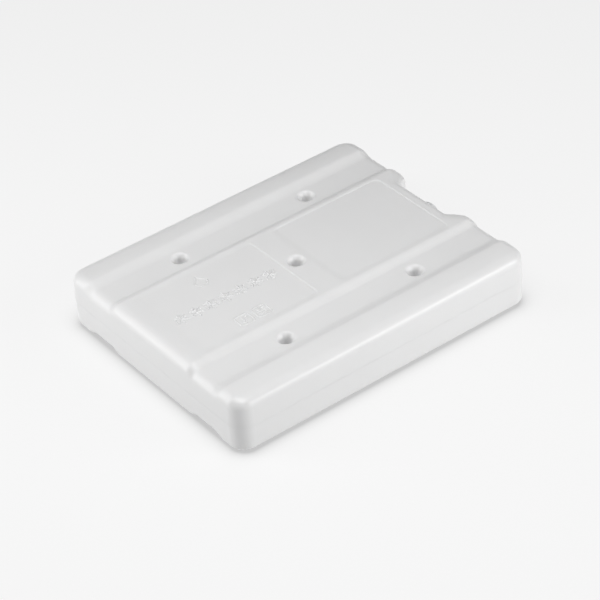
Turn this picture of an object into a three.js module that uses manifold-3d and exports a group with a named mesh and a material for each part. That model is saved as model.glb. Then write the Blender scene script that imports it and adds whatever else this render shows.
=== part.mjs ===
// Hard freezer block: a flat, hollow, blow-moulded polyethylene bottle filled with a coolant that
// is frozen and laid in a cool box. The wall is made in two halves that meet along a parting line
// at half height. Two grooves run the length of each face, five kiss-offs tie the faces together
// so that freezing can't bulge them, and a screw cap with a sealing liner closes the filler neck,
// which stands in a bay cut into one short end.
// Millimetres, +Z up, origin at the middle of the face the block lies on, +X towards the neck.
import * as THREE from "three";
import { mergeVertices } from "three/addons/utils/BufferGeometryUtils.js";
import Module from "manifold-3d";

// ---- driving dimensions -------------------------------------------------------------------
const LENGTH = 200; // along X
const WIDTH = 160; // along Y
const THICKNESS = 35; // along Z
const WALL = 2; // blown wall
const CORNER_RADIUS = 10; // upright corners, seen from above
const UPPER_EDGE_RADIUS = 6.5; // rounding from the upper face into the side walls
const LOWER_EDGE_RADIUS = 4.5; // the same on the lower face

const BAND_WIDTH = 19; // flat of the raised outer band and its edge rounding
const BAND_SLOPE = 4.5; // run of the slope from the band down to the groove floor
const GROOVE_FLOOR = 18; // width of the groove floor
const PANEL_SLOPE = 3.5; // run of the slope from the groove floor up to the middle panel
const GROOVE_DEPTH = 2.5;

const KISS_SPACING = 88.8; // along X, between the two kiss-offs of a groove
const KISS_OFFSET = 1.1; // from the middle of the groove floor, towards the band
const KISS_MOUTH_RADIUS = 5.3; // outside the rounded lip
const KISS_THROAT_RADIUS = 3.7; // inside the lip
const KISS_TIP_RADIUS = 2.4;
const KISS_LIP_DEPTH = 1.6;
const KISS_WEB = 1.6; // the two walls fused together at the tip

const LABEL_DEPTH = 0.4; // label fields sunk into the upper face's middle panel
const LABEL_GAP = 16.6; // plain strip left between the two fields
const LABEL_END_MARGIN = 15; // from a field to the short end
const LABEL_SIDE_MARGIN = 3; // from a field to the panel's slope
const LABEL_CORNER = 4;

const BAY_DEPTH = 8.5; // from the short end to the wall that carries the neck
const BAY_FINGER_ROOM = 9.5; // on each side of the cap, at the back of the bay
const BAY_FLARE = 5; // how much wider the bay's mouth is on each side

const BORE_RADIUS = 6; // filler bore
const NECK_WALL = 2;
const CAP_STANDOFF = 0.5; // from the bay's back wall to the rim of the cap's skirt
const CAP_HEIGHT = 5.5;
const CAP_WALL = 1.6;
const CAP_PLATE = 1.2;
const CAP_CHAMFER = 0.8;
const CAP_GRIPS = 24; // flutes round the skirt
const CAP_GRIP_DEPTH = 0.35;
const CAP_FLUTE_FLAT = 0.3; // flat of a flute, as a share of the pitch between flutes
const CAP_FLUTE_SIDE = 0.1; // run of a flute's side, as a share of the same pitch
const LINER_THICKNESS = 1;

const HEADSPACE = 4; // left above the coolant: ice needs more room than water
const CLEARANCE = 0.3; // between pieces that touch
const THREAD_CLEARANCE = 0.4; // between the neck and the skirt of the cap

const ARC_SEGMENTS = 5; // facets of a quarter circle
const ROUND_SEGMENTS = 32; // facets of a full circle

// ---- worked out from those ----------------------------------------------------------------
const halfLength = LENGTH / 2;
const halfWidth = WIDTH / 2;
const halfThickness = THICKNESS / 2;
const grooveTopOuter = halfWidth - BAND_WIDTH;
const grooveFloorOuter = grooveTopOuter - BAND_SLOPE;
const grooveFloorInner = grooveFloorOuter - GROOVE_FLOOR;
const grooveTopInner = grooveFloorInner - PANEL_SLOPE;
const grooveFace = halfThickness - GROOVE_DEPTH;
const kissRow = (grooveFloorInner + grooveFloorOuter) / 2 + KISS_OFFSET;
const bayWallX = halfLength - BAY_DEPTH;
const neckRadius = BORE_RADIUS + NECK_WALL;
const skirtInnerRadius = neckRadius + THREAD_CLEARANCE;
const capRadius = skirtInnerRadius + CAP_WALL;
const capRimX = bayWallX + CAP_STANDOFF;
const capFrontX = capRimX + CAP_HEIGHT;
const linerFrontX = capFrontX - CAP_PLATE - CLEARANCE;
const linerBackX = linerFrontX - LINER_THICKNESS;
const neckEndX = linerBackX - CLEARANCE;
const bayBackHalf = capRadius + BAY_FINGER_ROOM;
const OVER = 5; // how far a cutter runs past what it cuts
const MERGE_DISTANCE = 1e-4; // vertices closer together than this are one

const kissPlaces = [
  { x: 0, y: 0, face: halfThickness },
  { x: -KISS_SPACING / 2, y: kissRow, face: grooveFace },
  { x: KISS_SPACING / 2, y: kissRow, face: grooveFace },
  { x: -KISS_SPACING / 2, y: -kissRow, face: grooveFace },
  { x: KISS_SPACING / 2, y: -kissRow, face: grooveFace },
];

const wasm = await Module();
wasm.setup();

// ---- between three.js geometry and solids ---------------------------------------------------
function solidFrom(geometry) {
  const bare = geometry.clone();
  bare.deleteAttribute("normal");
  bare.deleteAttribute("uv");
  const merged = mergeVertices(bare, MERGE_DISTANCE);
  return new wasm.Manifold(
    new wasm.Mesh({
      numProp: 3,
      vertProperties: merged.attributes.position.array,
      triVerts: new Uint32Array(merged.index.array),
    }),
  );
}

function geometryFrom(solid) {
  const mesh = solid.getMesh();
  const geometry = new THREE.BufferGeometry();
  geometry.setAttribute("position", new THREE.BufferAttribute(mesh.vertProperties, 3));
  geometry.setIndex(new THREE.BufferAttribute(mesh.triVerts, 1));
  geometry.computeVertexNormals();
  return geometry;
}

// ---- plain shapes -----------------------------------------------------------------------------
function roundedRectangle(x0, y0, x1, y1, radius) {
  const shape = new THREE.Shape();
  shape.absarc(x1 - radius, y0 + radius, radius, -Math.PI / 2, 0);
  shape.absarc(x1 - radius, y1 - radius, radius, 0, Math.PI / 2);
  shape.absarc(x0 + radius, y1 - radius, radius, Math.PI / 2, Math.PI);
  shape.absarc(x0 + radius, y0 + radius, radius, Math.PI, 1.5 * Math.PI);
  return shape;
}

function polygon(points) {
  return new THREE.Shape(points.map(([x, y]) => new THREE.Vector2(x, y)));
}

// Upright prism of a shape in XY, from z0 to z1.
function prism(shape, z0, z1) {
  const geometry = new THREE.ExtrudeGeometry(shape, {
    depth: z1 - z0,
    bevelEnabled: false,
    curveSegments: ARC_SEGMENTS,
  });
  return geometry.translate(0, 0, z0);
}

// Upright prism between -half and +half whose upper and lower edges are rounded.
function roundedPrism(shape, half, radius) {
  const geometry = new THREE.ExtrudeGeometry(shape, {
    depth: 2 * (half - radius),
    bevelThickness: radius,
    bevelSize: radius,
    bevelOffset: -radius,
    bevelSegments: ARC_SEGMENTS,
    curveSegments: ARC_SEGMENTS,
  });
  return geometry.translate(0, 0, radius - half);
}

// Solid of revolution about Z from [radius, z] points, which start and end on the axis.
function turned(points) {
  const profile = points.map(([radius, z]) => new THREE.Vector2(radius, z));
  return new THREE.LatheGeometry(profile, ROUND_SEGMENTS).rotateX(Math.PI / 2);
}

// The same about X, from [radius, x] points.
function turnedAboutX(points) {
  const profile = points.map(([radius, x]) => new THREE.Vector2(radius, x));
  return new THREE.LatheGeometry(profile, ROUND_SEGMENTS).rotateZ(-Math.PI / 2);
}

// ---- the bottle ---------------------------------------------------------------------------------
// Each function gives its shape drawn in by an inset, which is how the inside follows the outside.

// Groove along the whole length, on the +Y side: floor, two slopes, and open above.
function groove(inset) {
  const face = halfThickness + OVER;
  const side = (floorY, run) => {
    const slant = Math.hypot(run, GROOVE_DEPTH);
    const outwards = (inset * (slant - Math.abs(run))) / GROOVE_DEPTH;
    const y = floorY + Math.sign(run) * outwards;
    const z = grooveFace - inset;
    return { floor: [z, y], top: [face, y + (run / GROOVE_DEPTH) * (face - z)] };
  };
  const inner = side(grooveFloorInner, -PANEL_SLOPE);
  const outer = side(grooveFloorOuter, BAND_SLOPE);
  const section = polygon([inner.floor, outer.floor, outer.top, inner.top]);
  const reach = halfLength + OVER;
  return prism(section, -reach, reach).rotateY(-Math.PI / 2);
}

// The bay in the short end, wider at its mouth than at its back.
function bay(inset) {
  const back = bayWallX - inset;
  const reach = halfLength + OVER - back;
  const backHalf = bayBackHalf + inset;
  const mouthHalf = backHalf + (BAY_FLARE * reach) / BAY_DEPTH;
  const outline = polygon([
    [back, -backHalf],
    [back + reach, -mouthHalf],
    [back + reach, mouthHalf],
    [back, backHalf],
  ]);
  return prism(outline, -halfThickness - OVER, halfThickness + OVER);
}

// Kiss-off: the funnel sunk into the upper face, or inset, the waisted column round both funnels.
function kissOff({ x, y, face }, inset) {
  const upper = [
    [KISS_TIP_RADIUS + inset, KISS_WEB / 2 + inset],
    [KISS_THROAT_RADIUS + inset, face - KISS_LIP_DEPTH],
    [KISS_MOUTH_RADIUS + inset, face],
    [KISS_MOUTH_RADIUS + inset, face + OVER],
    [0, face + OVER],
  ];
  const lower = upper.map(([radius, z]) => [radius, -z]).reverse();
  const funnel = turned([...(inset > 0 ? lower : [[0, KISS_WEB / 2]]), ...upper]);
  return funnel.translate(x, y, 0);
}

// Everything above the height z.
function spaceAbove(z) {
  const height = halfThickness + OVER - z;
  const geometry = new THREE.BoxGeometry(LENGTH + 2 * OVER, WIDTH + 2 * OVER, height);
  return solidFrom(geometry.translate(0, 0, z + height / 2));
}

// The block's outer shape, or its inside, with both faces grooved alike.
function block(edgeRadius, inset) {
  const outline = roundedRectangle(
    inset - halfLength,
    inset - halfWidth,
    halfLength - inset,
    halfWidth - inset,
    CORNER_RADIUS - inset,
  );
  const cutters = [
    groove(inset),
    groove(inset).rotateX(Math.PI),
    groove(inset).rotateY(Math.PI),
    groove(inset).rotateZ(Math.PI),
    bay(inset),
    ...kissPlaces.map((place) => kissOff(place, inset)),
  ];
  const whole = solidFrom(roundedPrism(outline, halfThickness - inset, edgeRadius - inset));
  return cutters.reduce((rest, cutter) => rest.subtract(solidFrom(cutter)), whole);
}

// One moulded half of the wall, with its half of the neck.
function shellHalf(edgeRadius) {
  const neck = turnedAboutX([
    [0, bayWallX - WALL / 2],
    [neckRadius, bayWallX - WALL / 2],
    [neckRadius, neckEndX],
    [0, neckEndX],
  ]);
  const bore = turnedAboutX([
    [0, bayWallX - WALL - OVER],
    [BORE_RADIUS, bayWallX - WALL - OVER],
    [BORE_RADIUS, neckEndX + OVER],
    [0, neckEndX + OVER],
  ]);
  return block(edgeRadius, 0)
    .subtract(block(edgeRadius, WALL))
    .add(solidFrom(neck))
    .subtract(solidFrom(bore))
    .intersect(spaceAbove(CLEARANCE / 2));
}

// Label field sunk into the upper face, between two places along X.
function labelField(x0, x1) {
  const half = grooveTopInner - LABEL_SIDE_MARGIN;
  const outline = roundedRectangle(x0, -half, x1, half, LABEL_CORNER);
  return solidFrom(prism(outline, halfThickness - LABEL_DEPTH, halfThickness + OVER));
}

function upperShell() {
  const fieldEnd = halfLength - LABEL_END_MARGIN;
  return geometryFrom(
    shellHalf(UPPER_EDGE_RADIUS)
      .subtract(labelField(-fieldEnd, -LABEL_GAP / 2))
      .subtract(labelField(LABEL_GAP / 2, fieldEnd)),
  );
}

// The lower half is made the same way up and turned over, which keeps its bay at the same end.
function lowerShell() {
  return geometryFrom(shellHalf(LOWER_EDGE_RADIUS)).rotateX(Math.PI);
}

// Coolant up to its level when the block lies flat, clear of the walls all round.
function coolant() {
  const inside = block(UPPER_EDGE_RADIUS, WALL + CLEARANCE);
  return geometryFrom(inside.subtract(spaceAbove(halfThickness - WALL - HEADSPACE)));
}

// ---- the closure ------------------------------------------------------------------------------
// Cap with a plate, a fluted skirt that surrounds the neck, and a chamfered front edge.
function screwCap() {
  const plateBackX = capFrontX - CAP_PLATE;
  const blank = turnedAboutX([
    [0, plateBackX],
    [skirtInnerRadius, plateBackX],
    [skirtInnerRadius, capRimX],
    [capRadius, capRimX],
    [capRadius, capFrontX - CAP_CHAMFER],
    [capRadius - CAP_CHAMFER, capFrontX],
    [0, capFrontX],
  ]);
  const low = capRadius - CAP_GRIP_DEPTH;
  const high = capRadius + OVER;
  const step = (2 * Math.PI) / CAP_GRIPS;
  const flute = [
    [low, 0],
    [low, CAP_FLUTE_FLAT],
    [high, CAP_FLUTE_FLAT + CAP_FLUTE_SIDE],
    [high, 1 - CAP_FLUTE_SIDE],
  ];
  const corners = [];
  for (let i = 0; i < CAP_GRIPS; i++) {
    for (const [radius, share] of flute) {
      const angle = (i + share) * step;
      corners.push([radius * Math.cos(angle), radius * Math.sin(angle)]);
    }
  }
  const flutes = polygon(corners);
  const gripped = prism(flutes, capRimX - OVER, capFrontX + OVER).rotateY(Math.PI / 2);
  return geometryFrom(solidFrom(blank).intersect(solidFrom(gripped)));
}

// Disc that the cap presses onto the end of the neck.
function capLiner() {
  const radius = skirtInnerRadius - CLEARANCE;
  return turnedAboutX([
    [0, linerBackX],
    [radius, linerBackX],
    [radius, linerFrontX],
    [0, linerFrontX],
  ]);
}

// ---- assembly -----------------------------------------------------------------------------------
const polyethylene = { color: 0xe6e7e8, roughness: 0.42, metalness: 0 };
const pieces = {
  upper_shell: [upperShell(), polyethylene],
  lower_shell: [lowerShell(), polyethylene],
  coolant_fill: [coolant(), { color: 0xa9cfe0, roughness: 0.2, metalness: 0 }],
  screw_cap: [screwCap(), { color: 0xd9dadc, roughness: 0.38, metalness: 0 }],
  cap_liner: [capLiner(), { color: 0xf2f2ee, roughness: 0.7, metalness: 0 }],
};

const freezerBlock = new THREE.Group();
for (const [name, [geometry, finish]] of Object.entries(pieces)) {
  const mesh = new THREE.Mesh(geometry, new THREE.MeshStandardMaterial(finish));
  mesh.name = name;
  mesh.position.z = halfThickness;
  freezerBlock.add(mesh);
}

export default freezerBlock;
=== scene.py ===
"""Hard freezer block for a cool box: a blow-moulded polyethylene bottle with a screw cap.

Every piece is a surface worked out on a grid of two parameters, in metres, in the frame of the
CAD model: +X along the block towards the cap, +Z up, origin in the middle of the resting plane.
"""

import math

import bpy
import numpy as np
from mathutils import Matrix, Vector


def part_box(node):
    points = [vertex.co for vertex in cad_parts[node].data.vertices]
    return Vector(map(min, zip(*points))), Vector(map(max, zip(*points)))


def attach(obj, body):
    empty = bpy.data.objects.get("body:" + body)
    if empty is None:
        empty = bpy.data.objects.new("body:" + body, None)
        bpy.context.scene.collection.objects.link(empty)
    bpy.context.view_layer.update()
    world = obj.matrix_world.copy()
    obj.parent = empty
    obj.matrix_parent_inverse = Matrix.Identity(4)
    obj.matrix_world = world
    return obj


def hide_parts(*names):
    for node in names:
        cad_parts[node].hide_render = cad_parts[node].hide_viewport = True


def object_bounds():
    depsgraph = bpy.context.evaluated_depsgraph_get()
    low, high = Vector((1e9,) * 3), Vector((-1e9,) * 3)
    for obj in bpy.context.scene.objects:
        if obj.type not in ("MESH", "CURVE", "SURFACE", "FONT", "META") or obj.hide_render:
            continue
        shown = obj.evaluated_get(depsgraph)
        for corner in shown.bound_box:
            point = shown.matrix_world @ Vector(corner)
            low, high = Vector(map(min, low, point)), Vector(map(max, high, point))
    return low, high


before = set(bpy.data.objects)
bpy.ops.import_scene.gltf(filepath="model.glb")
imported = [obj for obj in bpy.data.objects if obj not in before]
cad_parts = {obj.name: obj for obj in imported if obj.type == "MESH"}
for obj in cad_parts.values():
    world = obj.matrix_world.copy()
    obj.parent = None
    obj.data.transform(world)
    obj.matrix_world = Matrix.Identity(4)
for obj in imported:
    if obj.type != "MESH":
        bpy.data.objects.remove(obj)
cad_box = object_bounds()

MM = 1e-3

# ---- sizes taken from the frame -----------------------------------------------------------------
LOW, HIGH = (Vector(corner) for corner in cad_box)
HALF_LENGTH = (HIGH.x - LOW.x) / 2
HALF_WIDTH = (HIGH.y - LOW.y) / 2
PARTING = (HIGH.z + LOW.z) / 2
HALF_HEIGHT = (HIGH.z - LOW.z) / 2
CAP_LOW, CAP_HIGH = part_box("screw_cap")
LINER_LOW, LINER_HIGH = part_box("cap_liner")
CAP_RADIUS = (CAP_HIGH.z - CAP_LOW.z) / 2
LINER_RADIUS = (LINER_HIGH.z - LINER_LOW.z) / 2

# ---- sizes of the bottle ------------------------------------------------------------------------
WALL = 2 * MM
CORNER_RADIUS = 10 * MM
UPPER_EDGE_RADIUS = 6.5 * MM
LOWER_EDGE_RADIUS = 4.5 * MM
BAY_EDGE_RADIUS = 4.5 * MM  # round the bay's rim
BAY_RIM_END = 27 * MM  # from the middle, where the rim has the block's own rounding again
BAY_RIM_FADE = 7 * MM
LEAST_RADIUS = 0.5 * MM  # of the rounding on the inside of the wall
DRAFT = math.tan(math.radians(1.2))
BEAD_HEIGHT = 0.07 * MM  # parting line, standing off the wall
BEAD_WIDTH = 0.6 * MM

PANEL_EDGE = 35 * MM  # half width of the middle panel's flat
FLOOR_INNER = 38.5 * MM  # groove floor
FLOOR_OUTER = 56.7 * MM
BAND_EDGE = 62 * MM
GROOVE_DEPTH = 2.4 * MM
BAND_CROWN = 0.7 * MM  # how far the band has fallen where its edge rounding starts
SOFT_EDGE = 1.0 * MM  # how much height the rounding of a groove's corner takes up
CRISP_EDGE = 0.6 * MM  # the same at the band's edge

BAY_DEPTH = 8.5 * MM
BAY_GRID_BACK = 3.5 * MM  # how far the face's grid is drawn back behind the bay
BAY_GRID_END = 62 * MM  # from the middle, where it is no longer drawn back
BAY_GRID_FADE = 20 * MM
BAY_BACK_HALF = 20 * MM
BAY_MOUTH_HALF = 24.5 * MM
BAY_BACK_RADIUS = 2.5 * MM
BAY_MOUTH_RADIUS = 5 * MM
BAY_MOUTH_GROWTH = 1.6  # of the mouth's rounding, for each unit that a ring lies further in

KISS_X = 44.4 * MM
KISS_Y = 48.6 * MM
KISS_BLOCK = 7.2 * MM  # half side of the square of grid that a kiss-off takes up
KISS_RINGS = 14
KISS_CIRCLES = 11  # of them, counted from the web, that are true circles
KISS_WEB = 0.8 * MM  # half thickness of the web in the middle
KISS_LIP = 2.1 * MM  # height of the cone-shaped lip
KISS_THROAT = 3.8  # radius in mm where the lip starts
KISS_FLARE = 1.8  # how much wider in mm it is at the face

FIELD_DEPTH = 0.4 * MM
FIELD_STEP = 0.7 * MM  # run of the step at a label field's edge
FIELD_CORNER = 4 * MM
FIELD_HALF_WIDTH = 32 * MM
FIELDS = ((-86 * MM, -8.4 * MM), (8 * MM, 83.3 * MM))
FIELD_RUNS = ((9 * MM, 5 * MM), (5.5 * MM, 0.7 * MM))  # of each field's slopes at -X and at +Y
FIELD_NEAR_RUN = 5 * MM  # of both fields' slopes at -Y

THREAD_PITCH = 3 * MM
THREAD_DEPTH = 0.28 * MM
THREAD_WIDTH = 0.11  # share of the pitch
NECK_RADIUS = 8 * MM
NECK_BORE = 6 * MM
NECK_GAP = 0.3 * MM
CAP_WALL = 1.6 * MM
CAP_PLATE = 1.2 * MM
CAP_ROUNDING = 1.1 * MM
CAP_GRIPS = 24
CAP_GRIP_DEPTH = 0.35 * MM
CAP_RIM_ROUNDING = 0.25 * MM
DISH_RADIUS = 6.6 * MM
DISH_DEPTH = 0.35 * MM
DISH_ROUNDING = 0.3 * MM
LINER_DENT = 0.08 * MM
NECK_LIP = 0.3 * MM
THREAD_FADE = 0.5 * MM  # over which a thread runs out at its ends

FIELD_FLOOR = PARTING + HALF_HEIGHT - FIELD_DEPTH
MARK_HALF_WIDTH = 0.62 * MM
MARK_HEIGHT = 0.38 * MM
MARK_ROOT = 0.1 * MM  # how deep a mark's foot sits in the wall
MARK_TIP = 0.02  # least width of a stroke's end, squared, as a share of the full width
FLAKES = 7
FLAKE_START = -77.5 * MM
FLAKE_PITCH = 9.9 * MM
FLAKE_RADIUS = 4.7 * MM
DROP_PLACE = (-50 * MM, 21 * MM)
DROP_RADIUS = 3.7 * MM
THERMOMETER_PLACE = (-52.5 * MM, -23 * MM)
WAVES_PLACE = (-41 * MM, -23 * MM)
ICON_HALF = 4.4 * MM  # half side of the frame round a pictogram

# ---- camera, floor and lights -------------------------------------------------------------------
AZIMUTH = math.radians(34.94)
ELEVATION = math.radians(36.86)
ROLL = math.radians(-4.61)
LENS = 143.83
DISTANCE = 1.3376
AIM_UP = 0.0063
SENSOR_WIDTH = 36
CENTRE = (0, 0, PARTING)
SHADOW_INSET = 1.5 * MM  # from the block's outline to where the shadow on the floor is full
SHADOW_REACH = 3 * MM  # over which it falls to about a third
FLOOR_HALF = 16.0
FLOOR_GLOW = 0.79
SURROUND = 0.03
SOFTBOXES = (  # name, place, point it faces, width, height, power in watts
    ("left_softbox", (-0.553, 0.417, 0.418), CENTRE, 0.37, 0.92, 3.75),
    ("right_softbox", (0.439, -0.703, 0.369), CENTRE, 0.48, 0.42, 3.8),
    ("top_light", (-0.10, -0.12, 0.545), CENTRE, 0.30, 0.30, 1.48),
)

# ---- grid ---------------------------------------------------------------------------------------
RINGS = 22  # grid rings from the parting line up to the flat of the face
WALL_RINGS = 9
EDGE_RINGS = 19  # of the wall and its edge rounding together
FINE = 0.35 * MM  # spacings of the grid's lines
MEDIUM = 0.6 * MM
COARSE = 1.9 * MM
SHARP_ANGLE = math.radians(48)  # between faces, above which an edge is drawn sharp
ON_RADIUS = 0.01 * MM  # how near a turned point must be to a radius to count as on it


# ---- small helpers ------------------------------------------------------------------------------
def piece(name, vertices, faces, body, material, replaces=()):
    """A mesh object at the origin that rides on a body and takes its finish from a slot."""
    mesh = bpy.data.meshes.new(name)
    mesh.from_pydata(vertices.tolist(), [], faces)
    mesh.validate()
    mesh.shade_smooth()
    mesh.set_sharp_from_angle(angle=SHARP_ANGLE)
    obj = bpy.data.objects.new(name, mesh)
    bpy.context.scene.collection.objects.link(obj)
    obj.data.materials.append(material)
    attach(obj, body)
    if replaces:
        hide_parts(*replaces)
    return obj


def grid_faces(rows, columns, start=0, flip=False):
    """Quads of a grid whose vertices are counted along its columns first."""
    i, j = np.meshgrid(np.arange(rows - 1), np.arange(columns - 1), indexing="ij")
    this, that = i * columns + j, (i + 1) * columns + j
    quads = np.stack([this, that, that + 1, this + 1], axis=-1).reshape(-1, 4) + start
    return quads[:, ::-1] if flip else quads


def smooth_min(a, b, k):
    """The lower of a and b, with the corner between them rounded over a height of about k."""
    near = np.clip(1 - np.abs(a - b) / k, 0, None)
    return np.minimum(a, b) - near * near * k / 4


def smooth_max(a, b, k):
    """The higher of a and b, rounded in the same way."""
    return -smooth_min(-a, -b, k)


def smooth_step(t):
    """0 up to t = 0, 1 from t = 1, and an S-shaped rise between them."""
    t = np.clip(t, 0, 1)
    return t * t * (3 - 2 * t)


def spaced(stops):
    """Grid lines through (place, spacing) stops, evenly spaced between them, an odd number in all."""
    found = [np.array([stops[0][0]])]
    for (start, step), (end, _) in zip(stops, stops[1:]):
        count = max(1, round((end - start) / step))
        found.append(np.linspace(start, end, count + 1)[1:])
    lines = np.concatenate(found)
    if len(lines) % 2 == 0:
        lines = np.insert(lines, 1, (lines[0] + lines[1]) / 2)
    return lines


# ---- the bottle's grid --------------------------------------------------------------------------
def length_lines():
    """Lines across the length, close together at the kiss-offs and the label fields' ends."""
    kiss = KISS_BLOCK / KISS_RINGS
    core = HALF_LENGTH - CORNER_RADIUS
    step = FIELD_STEP
    (left_far, left_near), (right_near, right_far) = FIELDS
    return spaced([
        (-core, 0.8 * MM),
        (left_far - step, FINE),
        (left_far + step, MEDIUM),
        (left_far + FIELD_CORNER, COARSE),
        (-KISS_X - KISS_BLOCK, kiss),
        (-KISS_X + KISS_BLOCK, COARSE),
        (left_near - FIELD_CORNER, MEDIUM),
        (left_near - step, FINE),
        (-KISS_BLOCK, kiss),
        (KISS_BLOCK, FINE),
        (right_near + step, MEDIUM),
        (right_near + FIELD_CORNER, COARSE),
        (KISS_X - KISS_BLOCK, kiss),
        (KISS_X + KISS_BLOCK, COARSE),
        (right_far - FIELD_CORNER, MEDIUM),
        (right_far - step, FINE),
        (right_far + step, 0.9 * MM),
        (core, 0),
    ])


def width_lines():
    """Lines across the width, close together at the kiss-offs, the bay and every slope."""
    kiss = KISS_BLOCK / KISS_RINGS
    half = spaced([
        (0, kiss),
        (KISS_BLOCK, 1.4 * MM),
        (BAY_BACK_HALF - BAY_BACK_RADIUS, MEDIUM),
        (BAY_MOUTH_HALF + 1.5 * MM, MEDIUM),
        (FIELD_HALF_WIDTH - FIELD_STEP, FINE),
        (FIELD_HALF_WIDTH + FIELD_STEP, MEDIUM),
        (PANEL_EDGE - 0.8 * MM, 0.5 * MM),
        (KISS_Y - KISS_BLOCK, kiss),
        (KISS_Y + KISS_BLOCK, 0.45 * MM),
        (BAND_EDGE + 0.8 * MM, 1.3 * MM),
        (HALF_WIDTH - CORNER_RADIUS, 0),
    ])
    return np.concatenate([-half[:0:-1], half])


def with_rings(lines):
    """Adds the rings beyond both ends: the lines held at the ends, and the signed ring of each."""
    held = np.concatenate([np.full(RINGS, lines[0]), lines, np.full(RINGS, lines[-1])])
    beyond = np.arange(1, RINGS + 1)
    ring = np.concatenate([-beyond[::-1], np.zeros(len(lines), int), beyond])
    return held, ring


def edge_profile(ring, edge_radius, inset):
    """How far in from the outline, and how high above the parting plane, a ring lies.

    From the parting line inwards: a wall that leans in by the draft and carries half of the
    parting bead at its foot, then a quarter circle, then the flat, where only a share is given.
    The wall's rings lie closer together at its foot.
    """
    radius = np.maximum(edge_radius - inset, LEAST_RADIUS)
    rise = HALF_HEIGHT - edge_radius
    up = np.clip((RINGS - ring) / WALL_RINGS, 0, 1)
    height = rise * (0.12 * up + 0.88 * up**2.2)
    below_bead = 1 - np.exp(-((height / BEAD_WIDTH) ** 2))
    bead = 0 if inset else BEAD_HEIGHT * below_bead
    turn = np.clip((RINGS - ring - WALL_RINGS) / (EDGE_RINGS - WALL_RINGS), 0, 1) * math.pi / 2
    inward = inset + bead + DRAFT * height + radius * (1 - np.cos(turn))
    flat_share = np.clip((RINGS - ring - EDGE_RINGS) / (RINGS - EDGE_RINGS), 0, 1)
    return inward, height + radius * np.sin(turn), flat_share


def bay_outline(y, inward):
    """Where a ring runs at the short end with the bay, as x over y, that far in from the outline.

    A trapezoid is cut into the straight end: two smooth corners on a slanted wall, by rounding
    the lower of the slanted wall and the end, and the higher of that and the bay's back. The
    corner at the mouth grows rounder further in, so that it closes over as a dome.
    """
    slope = BAY_DEPTH / (BAY_MOUTH_HALF - BAY_BACK_HALF)
    end = HALF_LENGTH - inward
    slant = HALF_LENGTH - slope * (BAY_MOUTH_HALF - np.abs(y)) - inward * math.hypot(1, slope)
    front = smooth_min(slant, end, BAY_MOUTH_RADIUS + BAY_MOUTH_GROWTH * inward)
    return smooth_max(front, end - BAY_DEPTH, BAY_BACK_RADIUS)


def face_dip(y):
    """How far the face lies under its crest: nothing on the panel and the bands, more in a groove.

    The groove is the higher of its floor and two ramps, and the face is the lower of that and the
    crest, with both corners rounded.
    """
    away = np.abs(y)
    panel_ramp = (FLOOR_INNER - away) * GROOVE_DEPTH / (FLOOR_INNER - PANEL_EDGE)
    band_ramp = (away - FLOOR_OUTER) * GROOVE_DEPTH / (BAND_EDGE - FLOOR_OUTER)
    ramps = smooth_max(np.maximum(panel_ramp, band_ramp), 0, SOFT_EDGE)
    shoulder = np.where(away > (FLOOR_INNER + FLOOR_OUTER) / 2, CRISP_EDGE, SOFT_EDGE)
    return GROOVE_DEPTH - smooth_min(ramps, GROOVE_DEPTH, shoulder)


def field_share(x, y):
    """1 inside a label field, 0 outside, with a smooth step along its rounded outline.

    The step is crisp at a field's +X end. Round the other sides it runs out over FIELD_RUNS and
    FIELD_NEAR_RUN.
    """
    share = np.zeros_like(x)
    for (x0, x1), (end_run, far_run) in zip(FIELDS, FIELD_RUNS):
        middle = (x0 + x1) / 2
        over_x = np.abs(x - middle) - (x1 - x0) / 2 + FIELD_CORNER
        over_y = np.abs(y) - FIELD_HALF_WIDTH + FIELD_CORNER
        outside = np.hypot(np.maximum(over_x, 0), np.maximum(over_y, 0))
        distance = outside + np.minimum(np.maximum(over_x, over_y), 0) - FIELD_CORNER
        at_end = smooth_step(0.5 + (over_x - over_y) / FIELD_CORNER)
        run_x = np.where(x > middle, FIELD_STEP, end_run)
        run_y = np.where(y > 0, far_run, FIELD_NEAR_RUN)
        run = run_y + (run_x - run_y) * at_end
        share = np.maximum(share, smooth_step(0.5 - distance / run))
    return share


def kiss_profile(ring, face, inset):
    """Radius and height of a kiss-off's rings, from the middle of its web out to the face.

    Outside: a flat web, a funnel that widens upwards, and a cone-shaped lip that eases into the
    face. Inside the wall: the column round the funnel, standing on the parting plane. A row holds
    a ring's place in the count, its radius in mm and its height.
    """
    if inset == 0:
        share = np.linspace(0, 1, 5)
        lip_radii = KISS_THROAT + KISS_FLARE * share
        lip_heights = face - KISS_LIP * (1 - share) ** 1.5
        rows = [
            (0, 0, KISS_WEB),
            (1, 1.3, KISS_WEB),
            (2, 2.1, KISS_WEB + 0.3 * MM),
            (3, 2.5, KISS_WEB + 1.4 * MM),
            (5, 3.65, face - KISS_LIP - 0.6 * MM),
            *zip(range(6, KISS_CIRCLES), lip_radii, lip_heights),
            (KISS_CIRCLES, 6.2, face),
            (KISS_RINGS, 7.2, face),
        ]
    else:
        top = face - inset
        rows = [
            (0, 0, 0),
            (2, 4.3, 0),
            (3, 4.4, KISS_WEB),
            (6, 5.6, top - KISS_LIP),
            (8, 6.0, top - KISS_LIP / 2),
            (10, 6.6, top - KISS_LIP / 8),
            (KISS_CIRCLES, 6.9, top),
            (KISS_RINGS, 7.2, top),
        ]
    places, radii, heights = zip(*rows)
    return np.interp(ring, places, np.array(radii) * MM), np.interp(ring, places, heights)


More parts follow.
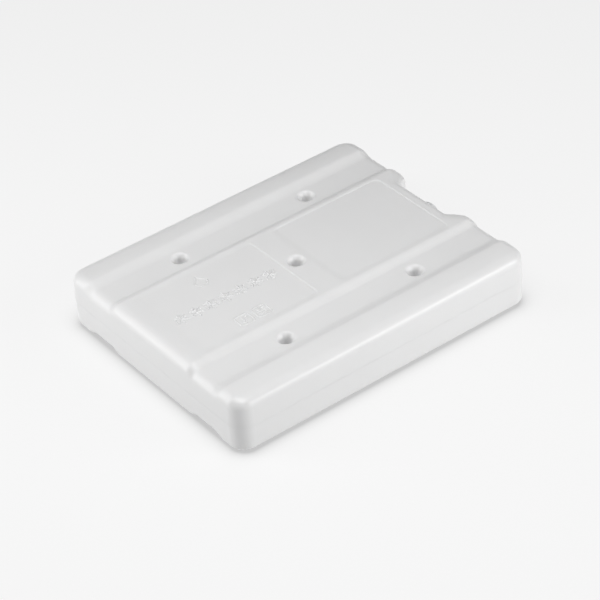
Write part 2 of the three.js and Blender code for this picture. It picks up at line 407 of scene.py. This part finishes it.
def concentric(u, v):
    """Ring and direction of a place on a square grid, whose square rings are bent into circles.

    The ring is the larger of the two counts. The direction runs through an eighth of a turn as
    the smaller count goes from nothing to the larger one.
    """
    wide = np.abs(u) >= np.abs(v)
    along = np.where(wide, u, v)
    across = np.where(wide, v, u)
    angle = math.pi / 4 * across / np.where(along == 0, 1, along)
    near = np.sign(along) * np.cos(angle)
    far = np.sign(along) * np.sin(angle)
    return np.abs(along), np.where(wide, near, far), np.where(wide, far, near)


def bottle_surface(edge_radius, inset, with_fields):
    """Grid of points (x, y, height over the parting plane) of one half's outside or inside.

    In the middle the grid is flat. The rings round it fold down over the edge rounding and the
    wall: straight along the sides, in circles at the corners, and along the bay's outline at the
    +X end. Each kiss-off bends a square of the grid into circles and pulls them down to the web.
    """
    lines_x, ring_x = with_rings(length_lines())
    lines_y, ring_y = with_rings(width_lines())
    x, y = (a.copy() for a in np.meshgrid(lines_x, lines_y, indexing="ij"))
    ring_i, ring_j = np.meshgrid(ring_x, ring_y, indexing="ij")
    ring, toward_x, toward_y = concentric(ring_i, ring_j)
    crest = HALF_HEIGHT - inset

    bay_side = (ring_i > 0) & (ring_j == 0)
    in_bay = smooth_step((BAY_RIM_END - np.abs(y)) / BAY_RIM_FADE) * bay_side
    radius = edge_radius + (min(BAY_EDGE_RADIUS, edge_radius) - edge_radius) * in_bay
    inward, height, flat_share = edge_profile(ring, radius, inset)

    core_x = HALF_LENGTH - CORNER_RADIUS
    hold_x = FIELDS[1][1] + 1.5 * FIELD_STEP
    drawn_back = smooth_step((BAY_GRID_END - np.abs(y)) / BAY_GRID_FADE) * (ring_j == 0)
    end_x = core_x - BAY_GRID_BACK * drawn_back
    squeezed = hold_x + (x - hold_x) * (end_x - hold_x) / (core_x - hold_x)
    x = np.where((x > hold_x) & (ring_i == 0), squeezed, x)

    reach = (CORNER_RADIUS - inward) * (1 - flat_share)
    out_x = x + reach * toward_x * (ring_i != 0)
    out_y = y + reach * toward_y * (ring_j != 0)

    wall_x = bay_outline(y, inward)
    bay_x = wall_x + (end_x - wall_x) * flat_share
    x = np.where(bay_side, bay_x, out_x)
    y = np.where(bay_side, y, out_y)

    slab = np.where(ring == 0, crest, height)
    z = slab - face_dip(y) * smooth_step(slab / (HALF_HEIGHT - edge_radius))
    band = HALF_WIDTH - edge_radius - BAND_EDGE
    fall = np.clip((np.abs(y) - BAND_EDGE) / band, 0, 1.2)
    z = z - BAND_CROWN * fall**2 * (z / crest) ** 6
    if with_fields:
        z = z - FIELD_DEPTH * field_share(x, y)

    count = np.arange(-KISS_RINGS, KISS_RINGS + 1)
    u, v = np.meshgrid(count, count, indexing="ij")
    kiss_ring, to_x, to_y = concentric(u, v)
    square = smooth_step((kiss_ring - KISS_CIRCLES) / (KISS_RINGS - KISS_CIRCLES))
    for kiss_x, kiss_y in kiss_places():
        i0 = int(np.argmin(np.abs(lines_x - kiss_x)))
        j0 = int(np.argmin(np.abs(lines_y - kiss_y)))
        around = np.ix_(i0 + count, j0 + count)
        face = HALF_HEIGHT - (GROOVE_DEPTH if kiss_y else 0)
        kiss_radius, kiss_height = kiss_profile(kiss_ring, face, inset)
        round_share = (1 - square) * kiss_radius
        x[around] = kiss_x + round_share * to_x + square * u * KISS_BLOCK / KISS_RINGS
        y[around] = kiss_y + round_share * to_y + square * v * KISS_BLOCK / KISS_RINGS
        z[around] = np.where(kiss_ring < KISS_CIRCLES, kiss_height, z[around])
    return np.stack([x, y, z], axis=-1)


def kiss_places():
    """Middles of the five kiss-offs: one in the panel and two in each groove."""
    return [(0, 0)] + [(sx * KISS_X, sy * KISS_Y) for sx in (-1, 1) for sy in (-1, 1)]


def border(rows, columns):
    """Vertex numbers round the edge of a grid, once round and back to the first."""
    number = np.arange(rows * columns).reshape(rows, columns)
    sides = [number[:-1, 0], number[-1, :-1], number[:0:-1, -1], number[0, :0:-1]]
    loop = np.concatenate(sides)
    return np.append(loop, loop[0])


def bottle_half(name, edge_radius, side, with_fields, material, node):
    """One half of the bottle's wall: the outside, an inside on every second line, and the rim."""
    outside = bottle_surface(edge_radius, 0, with_fields)
    inside = bottle_surface(edge_radius, WALL, False)[::2, ::2]
    rows, columns = outside.shape[:2]
    inner_rows, inner_columns = inside.shape[:2]
    vertices = np.concatenate([outside.reshape(-1, 3), inside.reshape(-1, 3)])
    vertices[:, 2] = PARTING + side * vertices[:, 2]
    start = rows * columns
    outer = border(rows, columns)
    inner = border(inner_rows, inner_columns) + start
    rim = np.stack([outer[2::2], outer[1::2], outer[:-2:2], inner[:-1], inner[1:]], axis=-1)
    faces = grid_faces(rows, columns).tolist()
    faces += grid_faces(inner_rows, inner_columns, start, flip=True).tolist()
    faces += rim.tolist()
    if side < 0:
        faces = [face[::-1] for face in faces]
    return piece(name, vertices, faces, "block", material, (node,))


# ---- turned pieces ------------------------------------------------------------------------------
def swept_faces(rows, columns, closed):
    """Quads of a grid that closes round its columns, and round its rows too if closed."""
    i, j = np.meshgrid(np.arange(rows if closed else rows - 1), np.arange(columns), indexing="ij")
    after, ahead = (i + 1) % rows, (j + 1) % columns
    corners = [i * columns + j, after * columns + j, after * columns + ahead, i * columns + ahead]
    return np.stack(corners, axis=-1).reshape(-1, 4).tolist()


def turned(profile, segments, shape=None, closed=False):
    """Surface swept about the cap's axis, from (x, radius) points counted from the front.

    A point stands at its x, and at its radius in the direction of an angle that goes once round
    from +Y towards +Z. shape may change the radius as a function of x, radius and angle. A closed
    profile runs back into itself; an open one starts and ends on the axis.
    """
    along, radius = np.array(profile).T
    if not closed:
        tips = np.array([[along[0], 0, PARTING], [along[-1], 0, PARTING]])
        along, radius = along[1:-1], radius[1:-1]
    angle = np.arange(segments) / segments * 2 * math.pi
    x, turn = np.meshgrid(along, angle, indexing="ij")
    r = np.repeat(radius[:, None], segments, axis=1)
    if shape:
        r = shape(x, r, turn)
    vertices = np.stack([x, r * np.cos(turn), PARTING + r * np.sin(turn)], axis=-1).reshape(-1, 3)
    rows = len(along)
    faces = swept_faces(rows, segments, closed)
    if closed:
        return vertices, faces
    first = np.arange(segments)
    second = (first + 1) % segments
    last = (rows - 1) * segments
    tip = np.full(segments, rows * segments)
    faces += np.stack([tip, first, second], axis=-1).tolist()
    faces += np.stack([tip + 1, last + second, last + first], axis=-1).tolist()
    return np.concatenate([vertices, tips]), faces


def arc(x, radius, bend, start, end, count=6):
    """Points of an arc of radius bend about (x, radius), its angle in degrees from +X outwards."""
    turn = np.radians(np.linspace(start, end, count))
    return list(zip(x + bend * np.cos(turn), radius + bend * np.sin(turn)))


def straight(start, end, count):
    """Evenly spaced points from start to just before end."""
    return [tuple(p) for p in np.linspace(start, end, count, endpoint=False)]


def thread_ridge(x, turn, phase):
    """Height share of a right-hand thread: a rounded ridge that moves one pitch in each turn."""
    place = (x / THREAD_PITCH - turn / (2 * math.pi) + phase) % 1
    return np.exp(-(((place - 0.5) / THREAD_WIDTH) ** 2))


def screw_cap(material):
    """Cap: a front with a shallow dish, a fluted skirt, and a threaded inside."""
    front, rim = CAP_HIGH.x, CAP_LOW.x
    plate_back = front - CAP_PLATE
    inner = CAP_RADIUS - CAP_WALL
    dish = front - DISH_DEPTH
    outer_bend, inner_bend = CAP_RIM_ROUNDING, CAP_RIM_ROUNDING - 0.05 * MM
    crest_bend = DISH_ROUNDING - 0.1 * MM
    profile = [(dish, 0)]
    profile += straight((dish, 2 * DISH_ROUNDING), (dish, DISH_RADIUS), 6)
    profile += arc(dish + DISH_ROUNDING, DISH_RADIUS, DISH_ROUNDING, 180, 135, 3)
    profile += arc(front - crest_bend, DISH_RADIUS + 2 * DISH_ROUNDING, crest_bend, -45, 0, 3)
    profile += arc(front - CAP_ROUNDING, CAP_RADIUS - CAP_ROUNDING, CAP_ROUNDING, 0, 90, 8)
    profile += straight((front - 1.3 * MM, CAP_RADIUS), (rim + 0.3 * MM, CAP_RADIUS), 10)
    profile += arc(rim + outer_bend, CAP_RADIUS - outer_bend, outer_bend, 90, 180, 4)
    profile += arc(rim + inner_bend, inner + inner_bend, inner_bend, 180, 270, 4)
    profile += straight((rim + 0.3 * MM, inner), (plate_back - 0.3 * MM, inner), 26)
    profile += [(plate_back - 0.1 * MM, inner - 0.1 * MM)]
    profile += [(plate_back, inner - 0.4 * MM), (plate_back, 0)]

    def flutes_and_thread(x, r, turn):
        flute = (0.5 + 0.5 * np.cos(CAP_GRIPS * turn)) ** 1.5
        on_skirt = smooth_step((r - CAP_RADIUS + 0.5 * MM) / (0.4 * MM))
        before_front = smooth_step((front - 0.7 * MM - x) / (0.9 * MM))
        r = r - CAP_GRIP_DEPTH * flute * on_skirt * before_front
        on_wall = (np.abs(r - inner) < ON_RADIUS) * smooth_step((x - rim) / THREAD_FADE)
        on_wall = on_wall * smooth_step((plate_back - x) / THREAD_FADE)
        return r - THREAD_DEPTH * thread_ridge(x, turn, 0.5) * on_wall

    vertices, faces = turned(profile, 10 * CAP_GRIPS, flutes_and_thread)
    piece("cap_body", vertices, faces, "cap", material, ("screw_cap",))


def cap_liner(material):
    """Sealing disc: two flat faces, a slightly bulged rim, and a ring pressed in by the neck."""
    front, back = LINER_HIGH.x, LINER_LOW.x
    half = (front - back) / 2
    profile = [(front, 0)]
    profile += straight((front, 1 * MM), (front, LINER_RADIUS - half), 6)
    profile += arc((front + back) / 2, LINER_RADIUS - half, half, 0, 180, 9)
    pressed = (NECK_RADIUS + NECK_BORE) / 2
    dent = back + LINER_DENT
    profile += [(back, pressed + 0.7 * MM), (dent, pressed + 0.3 * MM)]
    profile += [(dent, pressed - 0.3 * MM), (back, pressed - 0.7 * MM), (back, 0)]
    vertices, faces = turned(profile, 96)
    piece("liner_disc", vertices, faces, "seal", material, ("cap_liner",))


def bottle_neck(material):
    """Neck: a tube out of the bay's back wall with a right-hand thread and a rounded lip."""
    root = HALF_LENGTH - BAY_DEPTH - WALL / 2
    end = LINER_LOW.x - NECK_GAP
    lip = end - NECK_LIP
    profile = arc(lip, NECK_BORE + NECK_LIP, NECK_LIP, 270, 360, 4)
    profile += arc(lip, NECK_RADIUS - NECK_LIP, NECK_LIP, 0, 90, 4)
    profile += straight((lip - 0.1 * MM, NECK_RADIUS), (root, NECK_RADIUS), 30)
    profile += [(root, NECK_RADIUS), (root, NECK_BORE)]
    profile += straight((root + 0.2 * MM, NECK_BORE), (lip, NECK_BORE), 4)

    def thread(x, r, turn):
        outside = np.abs(r - NECK_RADIUS) < ON_RADIUS
        fade = smooth_step((lip - x) / THREAD_FADE)
        return r + THREAD_DEPTH * thread_ridge(x, turn, 0) * outside * fade

    vertices, faces = turned(profile, 144, thread, closed=True)
    piece("threaded_neck", vertices, faces, "block", material)


# ---- raised marks on the label field ------------------------------------------------------------
def stroke(path, closed=False):
    """Raised line: a bell-shaped section carried along a path, narrowed to a round at its ends.

    The section's points go once round: over the top from one foot to the other and back under.
    Its height is the squared cosine of the way from the middle to a foot.
    """
    path = np.array(path, float)
    if closed:
        ahead = np.roll(path, -1, 0) - np.roll(path, 1, 0)
        share = np.ones(len(path))
    else:
        ahead = np.gradient(path, axis=0)
        run = np.concatenate([[0], np.cumsum(np.hypot(*np.diff(path, axis=0).T))])
        from_end = np.minimum(run, run[-1] - run)
        short_of_round = 1 - np.clip(from_end / MARK_HALF_WIDTH, 0, 1)
        share = np.sqrt(np.clip(1 - short_of_round**2, MARK_TIP, 1))
    ahead = ahead / np.linalg.norm(ahead, axis=1, keepdims=True)
    beside = np.stack([ahead[:, 1], -ahead[:, 0]], axis=1)
    way = np.linspace(1, -1, 9)
    over = (MARK_HEIGHT + MARK_ROOT) * np.cos(way * math.pi / 2) ** 2 - MARK_ROOT
    across = np.append(way, 0) * MARK_HALF_WIDTH
    over = np.append(over, -2 * MARK_ROOT)
    xy = path[:, None] + beside[:, None] * (across[None, :, None] * share[:, None, None])
    z = np.tile(FIELD_FLOOR + over, (len(path), 1))
    vertices = np.concatenate([xy, z[..., None]], axis=-1)
    rows, section = vertices.shape[:2]
    faces = swept_faces(rows, section, closed)
    if not closed:
        faces.append(list(range(section)))
        faces.append([(rows - 1) * section + k for k in reversed(range(section))])
    return vertices.reshape(-1, 3), faces


def line(start, end):
    """Points of a straight stroke, closer together at its rounded ends."""
    start, end = np.array(start, float), np.array(end, float)
    length = np.linalg.norm(end - start)
    near = MARK_HALF_WIDTH / length * np.array([0, 0.15, 0.4, 0.7, 1])
    share = np.concatenate([near, 1 - near[::-1]])
    return start + (end - start) * share[:, None]


def joined(strokes):
    """Several strokes as one list of vertices and faces."""
    vertices, faces, start = [], [], 0
    for points, found in strokes:
        vertices.append(points)
        faces += [[k + start for k in face] for face in found]
        start += len(points)
    return np.concatenate(vertices), faces


def snowflake(x, y, radius):
    """Three crossed lines with a pair of short barbs on each of the six arms."""
    barb_length, barb_place = 0.3 * radius, 0.55 * radius
    centre = np.array([x, y])
    strokes = []
    for arm in range(6):
        angle = math.pi / 2 + arm * math.pi / 3
        out = np.array([math.cos(angle), math.sin(angle)])
        if arm < 3:
            strokes.append(stroke(line(centre - radius * out, centre + radius * out)))
        for side in (-1, 1):
            barb_angle = angle + side * math.pi / 4
            barb = np.array([math.cos(barb_angle), math.sin(barb_angle)]) * barb_length
            foot = centre + out * barb_place
            strokes.append(stroke(line(foot, foot + barb)))
    return strokes


def drop(x, y, radius):
    """Outline of a falling drop: a circle whose upper side is drawn out to a point."""
    turn = np.linspace(0, 2 * math.pi, 48, endpoint=False)
    pull = np.clip(np.sin(turn), 0, None)
    across = radius * np.cos(turn) * (1 - 0.75 * pull**1.5)
    up = radius * np.sin(turn) * (1 + 0.7 * pull**4) - 0.3 * radius
    return [stroke(np.stack([x + across, y + up], axis=-1), closed=True)]


def frame_outline(x, y, half):
    """Square with rounded corners: a superellipse of the sixth power."""
    turn = np.linspace(0, 2 * math.pi, 64, endpoint=False)
    across, up = np.cos(turn), np.sin(turn)
    reach = half / (across**6 + up**6) ** (1 / 6)
    return stroke(np.stack([x + reach * across, y + reach * up], axis=-1), closed=True)


def waves(x, y, half):
    """Three sine waves one above the other, in a frame."""
    along = np.linspace(-0.6 * half, 0.6 * half, 30)
    swing = 0.12 * half * np.sin(along / half * 1.7 * math.pi)
    strokes = [frame_outline(x, y, half)]
    for up in (-0.45, 0, 0.45):
        strokes.append(stroke(np.stack([x + along, y + up * half + swing], axis=-1)))
    return strokes


def thermometer(x, y, half):
    """A bulb with a stem and two short degree lines beside it, in a frame."""
    turn = np.linspace(0, 2 * math.pi, 24, endpoint=False)
    bulb = 0.22 * half
    low = y - 0.42 * half
    stem = x - 0.15 * half
    ring = np.stack([stem + bulb * np.cos(turn), low + bulb * np.sin(turn)], axis=-1)
    strokes = [frame_outline(x, y, half), stroke(ring, closed=True)]
    strokes.append(stroke(line((stem, low + bulb), (stem, y + 0.62 * half))))
    for up in (0.05, 0.42):
        height = y + up * half
        strokes.append(stroke(line((x + 0.15 * half, height), (x + 0.58 * half, height))))
    return strokes


def raised_marks(material):
    """The label field's marks: a row of snowflakes, a drop above it, and two pictograms below."""
    row = []
    for number in range(FLAKES):
        row += snowflake(FLAKE_START + number * FLAKE_PITCH, 0, FLAKE_RADIUS)
    for name, strokes in (
        ("mark_snowflakes", row),
        ("mark_drop", drop(*DROP_PLACE, DROP_RADIUS)),
        ("mark_thermometer", thermometer(*THERMOMETER_PLACE, ICON_HALF)),
        ("mark_waves", waves(*WAVES_PLACE, ICON_HALF)),
    ):
        vertices, faces = joined(strokes)
        piece(name, vertices, faces, "block", material)


# ---- materials ----------------------------------------------------------------------------------
class Term:
    """A node's output that takes part in sums and products written as Python expressions."""

    def __init__(self, finish, socket):
        self.finish = finish
        self.socket = socket

    def _math(self, operation, first, second):
        return self.finish.node("ShaderNodeMath", {"operation": operation}, {0: first, 1: second})

    def __add__(self, other):
        return self._math("ADD", self, other)

    def __radd__(self, other):
        return self._math("ADD", other, self)

    def __rsub__(self, other):
        return self._math("SUBTRACT", other, self)

    def __mul__(self, other):
        return self._math("MULTIPLY", self, other)

    def __rmul__(self, other):
        return self._math("MULTIPLY", other, self)


class Finish:
    """A material under construction, with a Principled shader on its output."""

    def __init__(self, name):
        self.material = bpy.data.materials.new(name)
        self.material.use_nodes = True
        self.tree = self.material.node_tree
        self.shader = self.tree.nodes["Principled BSDF"]

    def node(self, kind, settings=None, values=None, output=0):
        """A node of a type, its settings put in first, then the values or links of its sockets."""
        made = self.tree.nodes.new(kind)
        for key, value in (settings or {}).items():
            setattr(made, key, value)
        for key, value in (values or {}).items():
            self.put(made.inputs[key], value)
        return Term(self, made.outputs[output])

    def put(self, socket, value):
        """Links a term to a socket, or sets the socket to a plain value."""
        if isinstance(value, Term):
            self.tree.links.new(value.socket, socket)
        else:
            socket.default_value = value

    def set(self, **values):
        """Puts values in the shader's sockets, whose spaces are written as underscores."""
        for key, value in values.items():
            self.put(self.shader.inputs[key.replace("_", " ")], value)

    def noise(self, size, detail=2.0, roughness=0.5, stretch=(1, 1, 1)):
        """Noise from about 0 to 1 whose patches are as large as size, in metres."""
        place = self.node("ShaderNodeTexCoord", output="Object")
        scaled = self.node("ShaderNodeMapping", {}, {"Vector": place, "Scale": stretch})
        values = {"Vector": scaled, "Scale": 1 / size, "Detail": detail, "Roughness": roughness}
        return self.node("ShaderNodeTexNoise", {}, values)

    def between(self, low, high, share):
        """A colour between two colours, by a share from 0 to 1."""
        settings = {"data_type": "RGBA"}
        return self.node("ShaderNodeMix", settings, {0: share, 6: (*low, 1), 7: (*high, 1)}, output=2)

    def bumps(self, *layers):
        """A normal from layers of heights in metres, laid over each other."""
        height = layers[0]
        for layer in layers[1:]:
            height = height + layer
        return self.node("ShaderNodeBump", {}, {"Strength": 1.0, "Distance": 1.0, "Height": height})


def moulded_polyethylene(name, tint, roughness, texture, waviness):
    """Natural-white polyethylene with a blasted-mould texture, which light enters a little way.

    Fine grain, a slight orange peel and the slow waviness of a wall that cooled unevenly are added
    up as heights. The colour and the roughness drift a little from place to place.
    """
    finish = Finish(name)
    grain = finish.noise(0.45 * MM, detail=3.0)
    peel = finish.noise(2.4 * MM, detail=1.0)
    wave = finish.noise(26 * MM, detail=1.0)
    cloud = finish.noise(34 * MM, detail=3.0, roughness=0.6)
    scuff = finish.noise(1.4 * MM, detail=4.0, roughness=0.7, stretch=(0.18, 1, 1))
    darker = tuple(c * 0.965 for c in tint)
    finish.set(
        Base_Color=finish.between(darker, tint, cloud),
        Roughness=roughness - 0.06 + 0.08 * cloud + 0.05 * scuff,
        Normal=finish.bumps(texture * grain, 1.6 * texture * peel, waviness * wave),
        IOR=1.51,
        Subsurface_Weight=0.25,
        Subsurface_Radius=(1.0, 0.98, 0.95),
        Subsurface_Scale=1.2 * MM,
    )
    return finish.material


def foamed_liner():
    """Off-white foamed polyethylene with fine closed cells."""
    finish = Finish("foamed_liner")
    cells = finish.noise(0.3 * MM, detail=2.0)
    finish.set(
        Base_Color=finish.between((0.74, 0.73, 0.69), (0.82, 0.81, 0.77), cells),
        Roughness=0.62 + 0.1 * cells,
        Normal=finish.bumps(0.03 * MM * cells),
    )
    return finish.material


def coolant_gel():
    """Pale blue gel, clouded by small bubbles."""
    finish = Finish("coolant_gel")
    cloud = finish.noise(9 * MM, detail=4.0, roughness=0.6)
    bubbles = finish.noise(0.9 * MM, detail=1.0)
    finish.set(
        Base_Color=finish.between((0.42, 0.66, 0.82), (0.6, 0.8, 0.9), cloud),
        Roughness=0.12 + 0.12 * cloud,
        Normal=finish.bumps(0.04 * MM * bubbles),
        IOR=1.34,
        Subsurface_Weight=0.5,
        Subsurface_Radius=(0.6, 0.9, 1.0),
        Subsurface_Scale=6 * MM,
    )
    return finish.material


def floor_paper():
    """White studio paper that glows evenly, and less close to the block, where the shadow lies.

    The shadow is full inside the block's rounded outline, drawn in by SHADOW_INSET, and falls off
    exponentially with the distance from there.
    """
    finish = Finish("floor_paper")
    fibre = finish.noise(1.5 * MM, detail=3.0)
    place = finish.node("ShaderNodeTexCoord", output="Object")
    away = finish.node("ShaderNodeVectorMath", {"operation": "ABSOLUTE"}, {0: place})
    core = (HALF_LENGTH - CORNER_RADIUS, HALF_WIDTH - CORNER_RADIUS, 1.0)
    past = finish.node("ShaderNodeVectorMath", {"operation": "SUBTRACT"}, {0: away, 1: core})
    past = finish.node("ShaderNodeVectorMath", {"operation": "MAXIMUM"}, {0: past, 1: (0, 0, 0)})
    distance = finish.node("ShaderNodeVectorMath", {"operation": "LENGTH"}, {0: past}, output=1)
    steps = (CORNER_RADIUS - SHADOW_INSET - distance) * (1 / SHADOW_REACH)
    shadow = finish.node("ShaderNodeMath", {"operation": "EXPONENT", "use_clamp": True}, {0: steps})
    finish.set(
        Base_Color=finish.between((0.14, 0.14, 0.14), (0.16, 0.16, 0.16), fibre),
        Roughness=0.85,
        Specular_IOR_Level=0.1,
        Emission_Color=finish.between((1, 1, 1), (0.6, 0.6, 0.6), shadow),
        Emission_Strength=FLOOR_GLOW,
    )
    return finish.material


# ---- studio -------------------------------------------------------------------------------------
def camera():
    """Camera that looks along AZIMUTH and down by ELEVATION, rolled a little."""
    back = Vector((
        -math.sin(AZIMUTH) * math.cos(ELEVATION),
        -math.cos(AZIMUTH) * math.cos(ELEVATION),
        math.sin(ELEVATION),
    ))
    right = Vector((0, 0, 1)).cross(back).normalized()
    up = back.cross(right)
    rolled_right = math.cos(ROLL) * right + math.sin(ROLL) * up
    rolled_up = math.cos(ROLL) * up - math.sin(ROLL) * right
    data = bpy.data.cameras.new("camera")
    data.sensor_width = SENSOR_WIDTH
    data.lens = LENS
    data.clip_start = 50 * MM
    obj = bpy.data.objects.new("camera", data)
    bpy.context.scene.collection.objects.link(obj)
    rotation = Matrix((rolled_right, rolled_up, back)).transposed()
    place = back * DISTANCE + rolled_up * AIM_UP
    obj.matrix_world = Matrix.Translation(place) @ rotation.to_4x4()
    bpy.context.scene.camera = obj


def softbox(name, place, aim, width, height, power):
    """Rectangular area light that faces a point."""
    data = bpy.data.lights.new(name, "AREA")
    data.shape = "RECTANGLE"
    data.size = width
    data.size_y = height
    data.energy = power
    obj = bpy.data.objects.new(name, data)
    bpy.context.scene.collection.objects.link(obj)
    back = (Vector(place) - Vector(aim)).normalized()
    right = Vector((0, 0, 1)).cross(back).normalized()
    rotation = Matrix((right, back.cross(right), back)).transposed()
    obj.matrix_world = Matrix.Translation(place) @ rotation.to_4x4()


def studio():
    """Glowing white floor, two side softboxes, a top light, and a faint even surround."""
    size = FLOOR_HALF
    mesh = bpy.data.meshes.new("studio_floor")
    signs = ((-1, -1), (1, -1), (1, 1), (-1, 1))
    corners = [(size * side_x, size * side_y, LOW.z) for side_x, side_y in signs]
    mesh.from_pydata(corners, [], [(0, 1, 2, 3)])
    floor = bpy.data.objects.new("studio_floor", mesh)
    bpy.context.scene.collection.objects.link(floor)
    floor.data.materials.append(floor_paper())
    for light in SOFTBOXES:
        softbox(*light)
    world = bpy.data.worlds.new("surround")
    world.use_nodes = True
    background = world.node_tree.nodes["Background"]
    background.inputs["Color"].default_value = (1, 1, 1, 1)
    background.inputs["Strength"].default_value = SURROUND
    bpy.context.scene.world = world
    bpy.context.scene.view_settings.view_transform = "Standard"


# ---- build --------------------------------------------------------------------------------------
bottle_finish = moulded_polyethylene(
    "bottle_polyethylene",
    tint=(0.86, 0.86, 0.86),
    roughness=0.33,
    texture=0.006 * MM,
    waviness=0.1 * MM,
)
# the cap's plastic is tinted a darker grey than the bottle's
cap_finish = moulded_polyethylene(
    "cap_polyethylene",
    tint=(0.72, 0.725, 0.73),
    roughness=0.34,
    texture=0.003 * MM,
    waviness=0,
)

bottle_half("upper_wall", UPPER_EDGE_RADIUS, 1, True, bottle_finish, "upper_shell")
bottle_half("lower_wall", LOWER_EDGE_RADIUS, -1, False, bottle_finish, "lower_shell")
bottle_neck(bottle_finish)
raised_marks(bottle_finish)
screw_cap(cap_finish)
cap_liner(foamed_liner())
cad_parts["coolant_fill"].data.materials.clear()
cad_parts["coolant_fill"].data.materials.append(coolant_gel())

camera()
studio()
